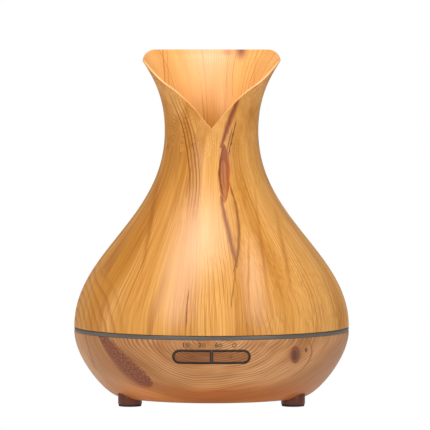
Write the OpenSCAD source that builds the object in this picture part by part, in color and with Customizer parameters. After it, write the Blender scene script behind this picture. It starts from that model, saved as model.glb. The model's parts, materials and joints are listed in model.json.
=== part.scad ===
// Ultrasonic oil diffuser: a vase-shaped cover that lifts off a round base.
// +Z is up, the buttons face -Y, and the origin is under the middle of the feet.

/* [Body] */
// Largest radius of the body, at the seam
body_r = 84; // [84:1:102]
// Height of the whole object
total_h = 215; // [205:1:262]
// Wall of the wood-grain shells
shell_wall = 2.4; // [2:0.1:2.9]
// Height of the lower housing's top edge
housing_top = 43.9; // [43.9:0.1:46]
// Height of the lit ring between housing and cover
ring_h = 2.4; // [2:0.1:4]
// Radius of the bowl's flat underside
underside_r = 57; // [57:1:60]
// Height of the bowl's underside above the table
underside_z = 4.2; // [4:0.1:4.4]

/* [Vase neck and mouth] */
// Radius of the waist
neck_r = 28.6; // [24:0.1:35]
// Height of the waist
neck_z = 166; // [158:1:180]
// Radius that the flared lip aims at
lip_r = 45.5; // [43:0.1:54]
// Depth of the V notch at the front of the mouth
notch_depth = 47.5; // [39:0.5:50]
// Radius of the two shoulders of the mouth
mouth_corner = 6; // [5:0.1:7.2]

/* [Feet] */
// Radius of a foot
foot_r = 7.25; // [6.1:0.05:7.4]
// Radius of the circle that the feet stand on
foot_circle_r = 57; // [57:0.5:60]
// Thickness of the rubber foot pads
pad_t = 1.2; // [1:0.1:1.5]

/* [Buttons] */
// Width of the button panel
panel_w = 46.7; // [40:0.1:48]
// Height of the button panel
panel_h = 8.9; // [8.2:0.1:9.4]
// Height of the panel's centre above the table
panel_z = 34; // [33.5:0.1:34.4]
// Width of the panel's frame round the buttons
frame_w = 1.4; // [1.2:0.1:1.6]
// Width of the web between the buttons
web_w = 2; // [1.6:0.1:2.6]
// Gap round each button
button_gap = 0.3; // [0.25:0.05:0.4]

/* [Tank and mist] */
// Wall of the water tank
tank_wall = 2.2; // [1.8:0.1:2.7]
// Underside of the tank's floor
tank_floor_z = 24; // [23.5:0.1:25]
// Radius of the tank's lower corner, outside
tank_corner = 18; // [15:0.5:18]
// Height of the tank's rim above the lit ring
tank_rise = 13.7; // [11.5:0.1:16.5]
// Radius of the rising air pipe
air_pipe_r = 7; // [6:0.1:8.4]
// Radius of the mist chimney
chimney_r = 10; // [8.5:0.1:12]
// Height of the mist chimney's top
chimney_top = 138; // [115:1:150]
// Wall of the mist guide
guide_wall = 1.4; // [1.2:0.1:1.7]
// Radius of the ultrasonic disc
disc_r = 10; // [8.4:0.1:10.2]

/* [Fan] */
// Side of the square fan
fan_side = 35; // [30:0.5:36]
// Thickness of the fan
fan_h = 10; // [8.4:0.1:10.8]
// Number of fan blades
blade_count = 7; // [5:1:9]

/* [Power inlet] */
// Radius of the inlet's centre pin
inlet_pin_r = 1; // [0.8:0.05:1.25]
// Radius of the inlet's hole
inlet_bore_r = 3.1; // [2.8:0.1:3.2]
// Height of the inlet's centre line
inlet_z = 17.75; // [17.5:0.05:18.5]

/* [Hidden] */
$fn = 64;

// Clearances
moving_gap = 0.6;      // between the cover's inner pieces and the base
seat_gap = 0.2;        // between pieces of the base that slide into each other
screw_gap = 0.05;      // round a screw in its hole
cut = 1;               // how far a cut runs past a face
reach = 120;           // longer than any sideways cut needs

// Seam
ring_top = housing_top + ring_h;
seam_line = 0.3;                       // shadow gap over the ring
cover_z = ring_top + seam_line;
ring_band_w = 4.1;                     // radial width of the ring's band
ring_lip_h = 3.9;                      // depth of the ring's lip inside the housing
ring_lip_gap = 0.3;                    // between the ring's lip and the housing
ring_ledge_w = 3.4;
ring_ledge_t = 1.6;
band_in_r = body_r - ring_band_w;
ledge_z = housing_top - ring_lip_h;
ledge_top = ledge_z + ring_ledge_t;
ledge_in_r = band_in_r - ring_ledge_w;

// Bowl's outline, from low to high, and the button board behind it
bowl = bezier([underside_r, underside_z], [underside_r + 7, underside_z],
              [body_r, housing_top - 16.9], [body_r, housing_top], 20);
panel_r = radius_at(bowl, panel_z);
button_h = panel_h - 2 * frame_w;
button_seat_y = -(radius_at(bowl, panel_z - button_h / 2 - 0.75) - shell_wall - 2.5);
button_boss_z = panel_z - 7.1;
board_tab = [13, 1.9];                 // half width of the board's tab, and its reach below the bosses
board_tab_r = radius_at(bowl, button_boss_z - board_tab[1]) - shell_wall - 1.75;
// front face of the button board: clear of the buttons above and of the bowl below
board_y = max(button_seat_y + 3.1, -sqrt(pow(board_tab_r, 2) - pow(board_tab[0], 2)));
button_board_t = 1.2;

// Tank
seal_t = 0.8;
seal_w = 1.5;
flange_t = 1.4;
flange_z = ledge_top + seal_t;
flange_r = band_in_r - moving_gap;
tank_to_body = 14.3;                   // from the tank's outside to the body's
board_tank_gap = 1.65;                 // between the button board and the tank
tank_r = min(body_r - tank_to_body, -(board_y + button_board_t) - board_tank_gap);
tank_flat_r = tank_r - tank_corner;
tank_rim_z = ring_top + tank_rise;
floor_bond = 1.2;                      // how far posts run into the tank's floor

// Cover's seat
lip_gap = 0.3;
lip_w = 1.4;
cover_lip_r = band_in_r - lip_gap;
cover_lip_z = flange_z + flange_t + moving_gap;
cover_shelf_t = 2.2;

// Bottom cover
bottom_t = 2.2;
bottom_r = foot_circle_r - foot_r - 0.55;
opening_r = bottom_r + 0.3;
bottom_ledge_w = 3;
bottom_ledge_t = 1.8;
bottom_top = underside_z + bottom_t;
bottom_ledge_top = bottom_top + bottom_ledge_t;
post_circle_r = 40;
post_r = 3.2;
post_angles = [90, 210, 330];
post_screw_r = 1.5;
post_screw_end = 16;
head_r = 2.8;
head_t = 1;

// Vase outline, from low to high
function bezier(a, b, c, d, n) =
    [for (i = [0:n]) let (t = i / n)
        a * pow(1 - t, 3) + b * 3 * t * pow(1 - t, 2) + c * 3 * t * t * (1 - t) + d * pow(t, 3)];
function reversed(p) = [for (i = [len(p) - 1:-1:0]) p[i]];
function mirrored(p) = [for (q = reversed(p)) [-q[0], q[1]]];
function arc(centre, r, from, to, n) =
    [for (i = [0:n]) let (a = from + (to - from) * i / n) centre + r * [cos(a), sin(a)]];
function inward(p, d) =
    [for (i = [0:len(p) - 1])
        let (t = p[min(i + 1, len(p) - 1)] - p[max(i - 1, 0)])
        p[i] + d * [-t[1], t[0]] / norm(t)];
function radius_at(p, z) = lookup(z, [for (q = p) [q[1], q[0]]]);
function on_circle(r, a) = [r * cos(a), r * sin(a)];

function unit(v) = v / norm(v);
function spline(p, n) = concat(
    [for (i = [0:len(p) - 2], k = [0:n - 1])
        let (t = k / n, a = p[max(i - 1, 0)], b = p[i], c = p[i + 1], d = p[min(i + 2, len(p) - 1)])
        0.5 * (2 * b + (c - a) * t + (2 * a - 5 * b + 4 * c - d) * t * t
               + (3 * b - a - 3 * c + d) * t * t * t)],
    [p[len(p) - 1]]);
function carried(t) =
    [for (i = 0, u = unit(cross(t[0], [0.3, 0.5, 0.8])); i < len(t);
          i = i + 1, u = i < len(t) ? unit(u - (u * t[i]) * t[i]) : u) u];

shoulder = bezier([body_r, cover_z], [body_r, cover_z + 45.4],
                  [neck_r, neck_z - 54], [neck_r, neck_z], 26);
lip_slope = 25;                        // of the lip, from upright
lip = bezier([neck_r, neck_z], [neck_r, neck_z + 27],
             [lip_r, total_h] - 12 * [sin(lip_slope), cos(lip_slope)], [lip_r, total_h], 14);
ring_lip_r = radius_at(bowl, ledge_z) - shell_wall - ring_lip_gap;
vase = concat(shoulder, [for (i = [1:len(lip) - 1]) lip[i]]);

// Mouth seen from the front
mouth_z = total_h - mouth_corner;
mouth_x = radius_at(lip, mouth_z);
notch_z = total_h - notch_depth;
fold_x = 26;                           // where the notch's edge changes from straight to curved
fold_z = total_h - 21.8;
notch_edge = concat(
    bezier([0, notch_z], [9, notch_z + 11], [fold_x - 8.5, fold_z - 5], [fold_x, fold_z], 8),
    bezier([fold_x, fold_z], [fold_x + 6, fold_z + 3.6], [mouth_x - 5.2, mouth_z - 6.4],
           [mouth_x, mouth_z], 8));
top_edge = concat([[mouth_x, mouth_z]],
                  arc([mouth_x - mouth_corner, mouth_z], mouth_corner, 6, 90, 8));
above = total_h + 20;
aside = body_r;

// Mist guide
skirt_r = tank_r - tank_wall - moving_gap;
skirt_h = 8;
brim_z = tank_rim_z + moving_gap;
brim_t = 1.6;
brim_r = tank_r + 2.3;
ear_circle_r = tank_r + 3.3;
ear_r = 3.6;
boss_r = 3;
guide_screw_r = 1.2;
dome_top = 98;
dome = concat(bezier([skirt_r, brim_z + brim_t], [skirt_r - 5, brim_z + 24],
                     [chimney_r + 20, dome_top - 12], [chimney_r, dome_top], 16),
              [[chimney_r, chimney_top]]);

// Ultrasonic disc
disc_t = 0.65;
disc_bore_r = disc_r - 2;
seal_r = disc_r + 2;
well_top = tank_floor_z - 0.5;
well_z = tank_floor_z - 3.5;
disc_z = well_z + 0.9;
well_r = seal_r + seat_gap;
clamp_t = 1.2;
clamp_r = disc_r + 7;
clamp_z = well_z - clamp_t;
clamp_screw_circle = disc_r + 4.6;
small_screw_r = 0.85;
small_head_r = 1.8;

// Fan and duct
fan_at = [-36, 4];
duct_h = 4.6;
fan_top = tank_floor_z - duct_h;
fan_z = fan_top - fan_h;
fan_hole_inset = 3;
fan_hole_pitch = fan_side / 2 - fan_hole_inset;
fan_screw_r = 1.25;
fan_base_t = 1.2;
fan_corners = [for (sx = [-1, 1], sy = [-1, 1]) fan_at + fan_hole_pitch * [sx, sy]];
duct_wall = 1.2;
duct_r = fan_hole_pitch * sqrt(2) - boss_r - 0.3;
fan_bore_r = min(fan_side / 2 - 0.7, duct_r - 0.4);
air_pipe_at = fan_at + [-6, 0];
air_pipe_wall = 1.5;
hub_r = 9.5;
hub_wall = 1;
rotor_z = fan_z + fan_base_t + 0.6;
rotor_top = fan_top - 1;
blade_tip_r = fan_bore_r - 0.8;
blade_chord = min(7, fan_h * 0.7);
blade_t = 0.9;
bearing_r = 1.9;
bearing_h = 5.2;
fan_shaft_r = 0.75;
shaft_gap = 0.05;
stator_r = 7;
magnet_w = 0.9;

// Main board
board_z = 12;
board_t = 1.6;
board_top = board_z + board_t;
board_post_r = 2.6;
board_screw_r = 1.1;
board_posts = [[36, -10], [52, 0], [30, 34]];
connector_h = 5;

// Light board
led_z = 29.4;
led_top = led_z + board_t;
led_wall_gap = 2.8;                    // between the board and the bowl's wall
led_tank_gap = 2.05;                   // between the board and the tank
led_out_r = radius_at(bowl, led_z) - shell_wall - led_wall_gap;
led_in_r = tank_flat_r + sqrt(pow(tank_corner, 2) - pow(tank_corner - (led_top - tank_floor_z), 2))
           + led_tank_gap;
led_mid_r = (led_in_r + led_out_r) / 2;
led_screw_r = led_mid_r + 0.157 * (led_out_r - led_in_r);
led_count = 8;
led_first = -54;                       // angle of the first light; the front stays open
led_step = 36;
led_shelf_angles = [-36, 0, 72, 144, 216];    // between the lights

// Button panel
buttons_w = panel_w - 2 * frame_w;
button_x = (buttons_w + web_w) / 4;
bezel_recess = 0.8;
bezel_flange = 0.8;
bezel_back = shell_wall + 1;
button_proud = 0.1;
button_back = bezel_back + 0.3;
button_flange_t = 0.8;
switch_side = 4.5;
switch_t = 2;
stem_r = 1.2;
button_boss_x = 9;
button_boss_r = 1.6;
stem_end_y = board_y - 0.9;
button_screw_r = 0.8;
indicator_x = [-16.5, -7, 3, 13.5];

// Power inlet
inlet_face_y = radius_at(bowl, inlet_z) - 3.6;
inlet_nose_r = 4;
inlet_bore_depth = 10;
inlet_body = [9, 11.5, 9.5];
inlet_body_y = inlet_face_y - 8.5;     // face that the nose stands on
inlet_cheek = 1.9;

// Colours
wood = "#d99a55";
wood_dark = "#9a5f2c";
smoke = [0.36, 0.34, 0.32, 0.85];
milky = [0.93, 0.93, 0.9, 0.6];
ivory = "#ece6d8";
charcoal = "#2e2b29";
rubber = "#1d1b1a";
silicone = "#d8d3cc";
steel = "#b9bcbf";
brass = "#b99a55";
circuit = "#2f6b46";

module ring(r_in, r_out, z, h) {
    translate([0, 0, z]) difference() {
        cylinder(r = r_out, h = h);
        translate([0, 0, -cut]) cylinder(r = r_in, h = h + 2 * cut);
    }
}
module rod(at, r, z, top) {
    translate([at[0], at[1], z]) cylinder(r = r, h = top - z);
}
module block(low, high) {
    translate(low) cube(high - low);
}
module rod_y(x, z, r, from, to) {
    translate([x, to, z]) rotate([90, 0, 0]) cylinder(r = r, h = to - from);
}
// Solid of revolution inside an outline moved inward by d
module filled(outline, d) {
    p = inward(outline, d);
    last = p[len(p) - 1];
    rotate_extrude() polygon(concat([[0, p[0][1]]], p, [[0, last[1]]]));
}
module shell(outline, t) {
    rotate_extrude() polygon(concat(outline, reversed(inward(outline, t))));
}
module to_front() {
    rotate([90, 0, 0]) linear_extrude(reach) children();
}
module to_back() {
    translate([0, reach, 0]) to_front() children();
}
module stadium(w, h) {
    square([w - h, h], center = true);
    for (s = [-1, 1]) translate([s * (w - h) / 2, 0]) circle(d = h);
}
// Layer of the bowl's wall between two depths, inside a flat outline at the front
module wall_layer(near, far) {
    difference() {
        intersection() {
            filled(bowl, near);
            to_front() translate([0, panel_z]) children();
        }
        filled(bowl, far);
    }
}
module screw(at, r, head, z, top) {
    rod(at, head, z - head_t, z);
    rod(at, r, z - 0.01, top);
}
// Round wire swept along a smooth curve through a list of points
module wire(points, r) {
    sides = 8;
    path = spline(points, 2);
    final = len(path) - 1;
    along = [for (i = [0:final])
        i == 0 ? unit(points[1] - points[0])
        : i == final ? unit(points[len(points) - 1] - points[len(points) - 2])
        : unit(path[i + 1] - path[i - 1])];
    across = carried(along);
    rings = [for (i = [0:final], k = [0:sides - 1])
        path[i] + r * (cos(k * 360 / sides) * across[i]
                       + sin(k * 360 / sides) * cross(along[i], across[i]))];
    walls = [for (i = [0:final - 1], k = [0:sides - 1])
        let (a = i * sides + k, b = i * sides + (k + 1) % sides) [a, a + sides, b + sides, b]];
    first = [for (k = [0:sides - 1]) k];
    last = [for (k = [sides - 1:-1:0]) final * sides + k];
    polyhedron(rings, concat([first], walls, [last]));
}

module vase_cover() {
    color(wood) difference() {
        union() {
            shell(vase, shell_wall);
            ring(cover_lip_r - lip_w, body_r - 1.8, ring_top, cover_shelf_t);
            ring(cover_lip_r - lip_w, cover_lip_r, cover_lip_z, ring_top - cover_lip_z + cut);
            intersection() {
                for (a = post_angles)
                    rod(on_circle(ear_circle_r, a), boss_r, brim_z + brim_t, brim_z + 24);
                filled(vase, 1);
            }
        }
        for (a = post_angles)
            rod(on_circle(ear_circle_r, a), guide_screw_r + screw_gap, brim_z, brim_z + 10);
        to_front() polygon(concat(notch_edge, [[aside, mouth_z], [aside, above],
                                               [-aside, above], [-aside, mouth_z]],
                                  mirrored([for (i = [1:len(notch_edge) - 1]) notch_edge[i]])));
        to_back() polygon(concat([[aside, mouth_z]], top_edge, mirrored(top_edge),
                                 [[-aside, mouth_z], [-aside, above], [aside, above]]));
    }
}
module mist_guide() {
    color(milky) difference() {
        union() {
            shell(dome, guide_wall);
            ring(skirt_r - guide_wall, skirt_r, brim_z - skirt_h, skirt_h + brim_t);
            ring(skirt_r - guide_wall, brim_r, brim_z, brim_t);
            for (a = post_angles)
                rod(on_circle(ear_circle_r, a), ear_r, brim_z, brim_z + brim_t);
        }
        for (a = post_angles)
            rod(on_circle(ear_circle_r, a), guide_screw_r + seat_gap,
                brim_z - cut, brim_z + 2 * cut + brim_t);
        rod([0, 0], skirt_r - guide_wall, brim_z - skirt_h - cut, brim_z);
    }
}
module mist_guide_screws() {
    color(steel) for (a = post_angles)
        screw(on_circle(ear_circle_r, a), guide_screw_r, 2.6, brim_z, brim_z + 9);
}

module lower_housing() {
    color(wood) difference() {
        union() {
            rotate_extrude() polygon(concat([[opening_r, underside_z]], bowl,
                reversed(inward(bowl, shell_wall)), [[opening_r, underside_z + shell_wall]]));
            ring(opening_r - bottom_ledge_w, opening_r + 2, bottom_top, bottom_ledge_t);
            for (a = post_angles)
                rod(on_circle(foot_circle_r, a), foot_r, pad_t, bottom_ledge_top);
            intersection() {
                union() {
                    for (a = led_shelf_angles) rotate([0, 0, a])
                        block([led_mid_r - 1, -3, led_z - 3], [body_r, 3, led_z]);
                    for (s = [-1, 1])
                        rod_y(s * button_boss_x, button_boss_z, button_boss_r, -body_r, board_y);
                    difference() {
                        block([-inlet_body[0] / 2 - inlet_cheek, inlet_body_y - 9, underside_z + 1],
                              [inlet_body[0] / 2 + inlet_cheek, inlet_body_y - 0.5, inlet_z + 2.2]);
                        inlet_space();
                    }
                }
                filled(bowl, 1);
            }
        }
        rod([0, 0], opening_r, 0, bottom_top);
        rod([0, 0], body_r + cut, housing_top, housing_top + cut);
        to_front() translate([0, panel_z]) stadium(panel_w + 0.1, panel_h + 0.1);
        for (s = [-1, 1])
            rod_y(s * button_boss_x, button_boss_z, button_screw_r + screw_gap,
                  board_y - 2.9, board_y + cut);
        for (a = led_shelf_angles)
            rod(on_circle(led_screw_r, a), button_screw_r + screw_gap, led_z - 3 - cut, led_z + cut);
        rod_y(0, inlet_z, inlet_nose_r + seat_gap, inlet_body_y - 0.4, reach);
    }
}
module inlet_space() {
    block([-inlet_body[0] / 2, inlet_body_y - reach, inlet_z - inlet_body[2] / 2],
          [inlet_body[0] / 2, inlet_body_y, inlet_z + reach]);
}
module light_ring() {
    color(smoke) union() {
        ring(band_in_r, body_r, housing_top, ring_h);
        ring(band_in_r, ring_lip_r, ledge_z, ring_lip_h);
        ring(ledge_in_r, band_in_r, ledge_z, ring_ledge_t);
    }
}
module water_tank() {
    color(ivory) difference() {
        union() {
            corner = [tank_flat_r, tank_floor_z + tank_corner];
            rotate_extrude() polygon(concat([[0, tank_floor_z]], arc(corner, tank_corner, -90, 0, 12),
                [[tank_r, tank_rim_z], [tank_r - tank_wall, tank_rim_z]],
                arc(corner, tank_corner - tank_wall, 0, -90, 12), [[0, tank_floor_z + tank_wall]]));
            ring(tank_r - tank_wall / 2, flange_r, flange_z, flange_t);
            rod(air_pipe_at, air_pipe_r, tank_floor_z, tank_rim_z);
            for (a = post_angles)
                rod(on_circle(post_circle_r, a), post_r, bottom_top, tank_floor_z + floor_bond);
            rod([0, 0], clamp_r, well_z, tank_floor_z + floor_bond);
            for (p = fan_corners) rod(p, boss_r, fan_top, tank_floor_z + floor_bond);
            for (p = board_posts) rod(p, board_post_r, board_top, tank_floor_z + floor_bond);
        }
        rod(air_pipe_at, air_pipe_r - air_pipe_wall, tank_floor_z - cut, tank_rim_z + cut);
        rod([0, 0], disc_bore_r, well_z, tank_floor_z + tank_wall + cut);
        rod([0, 0], well_r, well_z - cut, well_top);
        for (a = post_angles) {
            rod(on_circle(post_circle_r, a), post_screw_r, bottom_top - cut, post_screw_end + cut);
            rod(on_circle(clamp_screw_circle, a), small_screw_r + screw_gap, well_z - cut, well_top + 0.3);
        }
        for (p = fan_corners) rod(p, fan_screw_r + screw_gap, fan_top - cut, fan_top + 3.6);
        for (p = board_posts) rod(p, board_screw_r, board_top - cut, board_top + 6.4);
    }
}
module tank_seal() {
    color(silicone) ring(ledge_in_r + 0.5, ledge_in_r + 0.5 + seal_w, ledge_top, seal_t);
}
module air_outlet_cap() {
    cap_in_r = air_pipe_r + screw_gap;
    cap_top = tank_rim_z + 5;
    color(milky) translate([air_pipe_at[0], air_pipe_at[1], 0]) difference() {
        rod([0, 0], cap_in_r + 1.2, tank_rim_z - 3, cap_top);
        rod([0, 0], cap_in_r, tank_rim_z - 3 - cut, cap_top - 1.4);
        for (a = [0, 60, 120]) rotate([0, 0, a])
            block([-reach / 4, -2.6, tank_rim_z + 0.4], [reach / 4, 2.6, cap_top - 1.4]);
    }
}
module transducer_disc() {
    color(silicone) rod([0, 0], disc_r, disc_z, disc_z + disc_t);
}
module transducer_seal() {
    color(rubber) difference() {
        rod([0, 0], seal_r, well_z, well_top);
        rod([0, 0], disc_r - 2.5, well_z - cut, well_top + cut);
        rod([0, 0], disc_r + screw_gap, disc_z, disc_z + disc_t + screw_gap);
    }
}
module transducer_clamp() {
    color(steel) difference() {
        ring(disc_r - 3.5, clamp_r, clamp_z, clamp_t);
        for (a = post_angles)
            rod(on_circle(clamp_screw_circle, a), small_screw_r + 0.15, clamp_z - cut, well_z + cut);
    }
}
module transducer_screws() {
    color(steel) for (a = post_angles)
        screw(on_circle(clamp_screw_circle, a), small_screw_r, small_head_r, clamp_z, well_top);
}

module fan_frame() {
    corner_r = 2.5;
    color(charcoal) union() {
        difference() {
            translate([fan_at[0], fan_at[1], fan_z]) linear_extrude(fan_h) {
                square([fan_side, fan_side - 2 * corner_r], center = true);
                square([fan_side - 2 * corner_r, fan_side], center = true);
                for (sx = [-1, 1], sy = [-1, 1])
                    translate((fan_side / 2 - corner_r) * [sx, sy]) circle(corner_r);
            }
            rod(fan_at, fan_bore_r, fan_z - cut, fan_top + cut);
            for (p = fan_corners) rod(p, fan_screw_r + 0.25, fan_z - cut, fan_top + cut);
        }
        translate([fan_at[0], fan_at[1], 0]) {
            difference() {
                union() {
                    rod([0, 0], hub_r, fan_z, fan_z + fan_base_t);
                    rod([0, 0], bearing_r + 0.7, fan_z, fan_z + fan_base_t + bearing_h);
                    for (a = [45:90:315]) rotate([0, 0, a])
                        block([hub_r - 1, -1, fan_z], [fan_bore_r + 0.5, 1, fan_z + fan_base_t]);
                }
                rod([0, 0], bearing_r, fan_z + fan_base_t, fan_top);
            }
        }
    }
}
module fan_bearing() {
    color(brass) translate([fan_at[0], fan_at[1], 0])
        ring(fan_shaft_r + shaft_gap, bearing_r, fan_z + fan_base_t, bearing_h);
}
module fan_stator() {
    stack_z = rotor_z + 0.8;
    stack_h = 3.6;
    color("#7a5230") translate([fan_at[0], fan_at[1], 0]) difference() {
        union() {
            rod([0, 0], 3.8, stack_z, stack_z + stack_h);
            intersection() {
                ring(stator_r - 1.1, stator_r, stack_z, stack_h);
                for (a = [0, 90]) rotate([0, 0, a])
                    block([-stator_r, -3.6, stack_z], [stator_r, 3.6, stack_z + stack_h]);
            }
            for (a = [0, 90]) rotate([0, 0, a])
                block([-stator_r + 0.5, -1.5, stack_z], [stator_r - 0.5, 1.5, stack_z + stack_h]);
        }
        rod([0, 0], bearing_r + 0.7 + screw_gap, stack_z - cut, stack_z + stack_h + cut);
    }
}
module fan_duct() {
    color(charcoal) difference() {
        rod(fan_at, duct_r, fan_top, tank_floor_z);
        rod(fan_at, duct_r - duct_wall, fan_top - cut, tank_floor_z - duct_wall);
        rod(air_pipe_at, air_pipe_r - air_pipe_wall, fan_top, tank_floor_z + cut);
    }
}
module fan_screws() {
    color(steel) for (p = fan_corners) screw(p, fan_screw_r, 2.4, fan_z, fan_top + 3.4);
}
module fan_rotor() {
    color(charcoal) translate([fan_at[0], fan_at[1], 0]) {
        difference() {
            rod([0, 0], hub_r, rotor_z, rotor_top);
            rod([0, 0], hub_r - hub_wall, rotor_z - cut, rotor_top - 1.2);
        }
        for (i = [0:blade_count - 1]) rotate([0, 0, i * 360 / blade_count])
            translate([hub_r - 0.2, 0, (rotor_z + rotor_top) / 2]) rotate([42, 0, 0])
                translate([0, -blade_chord / 2, -blade_t / 2])
                    cube([blade_tip_r - hub_r + 0.2, blade_chord, blade_t]);
    }
}
module fan_magnet() {
    color("#55504c") translate([fan_at[0], fan_at[1], 0])
        ring(hub_r - hub_wall - magnet_w, hub_r - hub_wall, rotor_z + 0.3, rotor_top - rotor_z - 2);
}
module fan_shaft() {
    color(steel) rod(fan_at, fan_shaft_r, rotor_z, rotor_top - 1.2);
}

module main_board() {
    color(circuit) difference() {
        intersection() {
            block([20, -14, board_z], [57, 38, board_top]);
            rod([0, 0], 56, board_z - cut, board_top + cut);
        }
        for (p = board_posts) rod(p, board_screw_r + 0.1, board_z - cut, board_top + cut);
    }
}
module power_inductor() {
    color(charcoal) translate([33, 0, board_top]) {
        cylinder(r = 4.5, h = 1.4);
        cylinder(r = 3.4, h = 7);
        translate([0, 0, 5.6]) cylinder(r = 4.5, h = 1.4);
    }
}
module filter_capacitors() {
    color("#30405c") for (y = [5, 14]) rod([44, y], 3.9, board_top, board_top + 8.8);
}
module driver_transistor() {
    color(charcoal) block([29, 13, board_top], [38, 16, board_top + 7.6]);
}
module heatsink() {
    color(steel) difference() {
        block([27.5, 16, board_top], [39.5, 24, board_top + 8.6]);
        for (x = [29:2.5:37.5]) block([x, 18, board_top - cut], [x + 1.3, 25, board_top + 10]);
    }
}
module controller_chips() {
    color(rubber) {
        block([31.5, 6.5, board_top], [36.5, 11.5, board_top + 1.6]);
        block([39, -8.5, board_top], [45, -3.5, board_top + 1.4]);
    }
}
module board_connectors() {
    color(ivory) {
        block([22, -13, board_top], [30, -8, board_top + connector_h]);
        block([21, -3, board_top], [25, 5, board_top + connector_h]);
        block([21, 9, board_top], [25, 17, board_top + connector_h]);
        block([21, 22, board_top], [25, 30, board_top + connector_h]);
        block([41, 24, board_top], [47, 28, board_top + connector_h - 1]);
    }
}
module main_board_screws() {
    color(steel) for (p = board_posts)
        screw(p, board_screw_r - screw_gap, 2.2, board_z, board_top + 5.6);
}
module led_board() {
    color(circuit) difference() {
        ring(led_in_r, led_out_r, led_z, board_t);
        block([-panel_w / 2 - 6, -reach, led_z - cut], [panel_w / 2 + 6, 0, led_z + 3]);
        for (a = led_shelf_angles)
            rod(on_circle(led_screw_r, a), button_screw_r + 0.1, led_z - cut, led_z + board_t + cut);
    }
}
module colour_leds() {
    color("#f4f1e6") for (i = [0:led_count - 1]) rotate([0, 0, led_first + i * led_step])
        block([led_mid_r - 1.75, -1.4, led_z + board_t], [led_mid_r + 1.75, 1.4, led_z + board_t + 1.6]);
}
module led_board_screws() {
    color(steel) for (a = led_shelf_angles)
        translate([0, 0, 2 * (led_z + board_t)]) mirror([0, 0, 1])
            screw(on_circle(led_screw_r, a), button_screw_r, 1.6,
                  led_z + board_t, led_z + 2 * board_t + 2.6);
}

module button_outline(grow) {
    intersection() {
        stadium(buttons_w + 2 * grow, button_h + 2 * grow);
        translate([web_w / 2 - grow, -panel_h]) square([panel_w, 2 * panel_h]);
    }
}
module button_cap() {
    union() {
        wall_layer(-button_proud, button_back + 0.4) button_outline(0);
        wall_layer(button_back, button_back + button_flange_t)
            translate([button_x - 6, -button_h / 2 - 0.75]) square([12, button_h + 1.5]);
        difference() {
            block([button_x - 2, -panel_r + 4, panel_z - 2], [button_x + 2, button_seat_y, panel_z + 2]);
            difference() {
                block([0, -body_r, panel_z - 5], [panel_w, 0, panel_z + 5]);
                filled(bowl, button_back + 0.3);
            }
        }
    }
}
module light_button() { color(wood_dark) button_cap(); }
module mist_button() { color(wood_dark) mirror([1, 0, 0]) button_cap(); }
module light_switch_stem() {
    color(charcoal) rod_y(button_x, panel_z, stem_r, button_seat_y, stem_end_y);
}
module mist_switch_stem() {
    color(charcoal) rod_y(-button_x, panel_z, stem_r, button_seat_y, stem_end_y);
}
module button_bezel() {
    color(charcoal) difference() {
        union() {
            wall_layer(bezel_recess, bezel_back - 0.5) stadium(panel_w, panel_h);
            wall_layer(shell_wall + screw_gap, bezel_back)
                stadium(panel_w + 2 * bezel_flange, panel_h + 2 * bezel_flange);
        }
        to_front() translate([0, panel_z]) {
            button_outline(button_gap);
            mirror([1, 0]) button_outline(button_gap);
        }
    }
}
module button_board() {
    color(circuit) difference() {
        union() {
            block([-20, board_y, panel_z - 4.5], [20, board_y + button_board_t, panel_z + 5.5]);
            block([-board_tab[0], board_y, button_boss_z - board_tab[1]],
                  [board_tab[0], board_y + button_board_t, panel_z]);
        }
        for (s = [-1, 1])
            rod_y(s * button_boss_x, button_boss_z, button_screw_r + 0.1, board_y - cut, board_y + 3);
    }
}
module tact_switches() {
    half = switch_side / 2;
    color(rubber) for (s = [-1, 1]) difference() {
        block([s * button_x - half, board_y - switch_t, panel_z - half],
              [s * button_x + half, board_y, panel_z + half]);
        rod_y(s * button_x, panel_z, stem_r + 0.35, board_y - switch_t - cut, board_y - 0.1);
    }
}
module indicator_leds() {
    color("#f4f1e6") for (x = indicator_x)
        block([x - 0.8, board_y - 0.8, panel_z + 4.2], [x + 0.8, board_y, panel_z + 5.2]);
}
module button_board_screws() {
    back_y = board_y + button_board_t;
    color(steel) for (s = [-1, 1]) {
        rod_y(s * button_boss_x, button_boss_z, 1.6, back_y, back_y + head_t);
        rod_y(s * button_boss_x, button_boss_z, button_screw_r, board_y - 2.7, back_y + 0.01);
    }
}

module dc_jack() {
    color(rubber) difference() {
        union() {
            block([-inlet_body[0] / 2, inlet_body_y - inlet_body[1], inlet_z - inlet_body[2] / 2],
                  [inlet_body[0] / 2, inlet_body_y, inlet_z + inlet_body[2] / 2]);
            rod_y(0, inlet_z, inlet_nose_r, inlet_body_y - cut, inlet_face_y);
        }
        rod_y(0, inlet_z, inlet_bore_r, inlet_face_y - inlet_bore_depth, inlet_face_y + cut);
        rod_y(0, inlet_z, inlet_pin_r + 0.4, inlet_face_y - inlet_bore_depth - 4, inlet_face_y);
    }
}
module dc_pin() {
    root_y = inlet_face_y - inlet_bore_depth;
    color(steel) union() {
        rod_y(0, inlet_z, inlet_pin_r + 0.4, root_y - 4, root_y);
        rod_y(0, inlet_z, inlet_pin_r, root_y - 0.01, inlet_face_y - 1);
    }
}
module dc_contacts() {
    back_y = inlet_body_y - inlet_body[1];
    color(brass) for (x = [-2.5, 2.5])
        block([x - 0.9, back_y - 1.2, inlet_z - 2.5], [x + 0.9, back_y, inlet_z + 2.5]);
}
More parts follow.
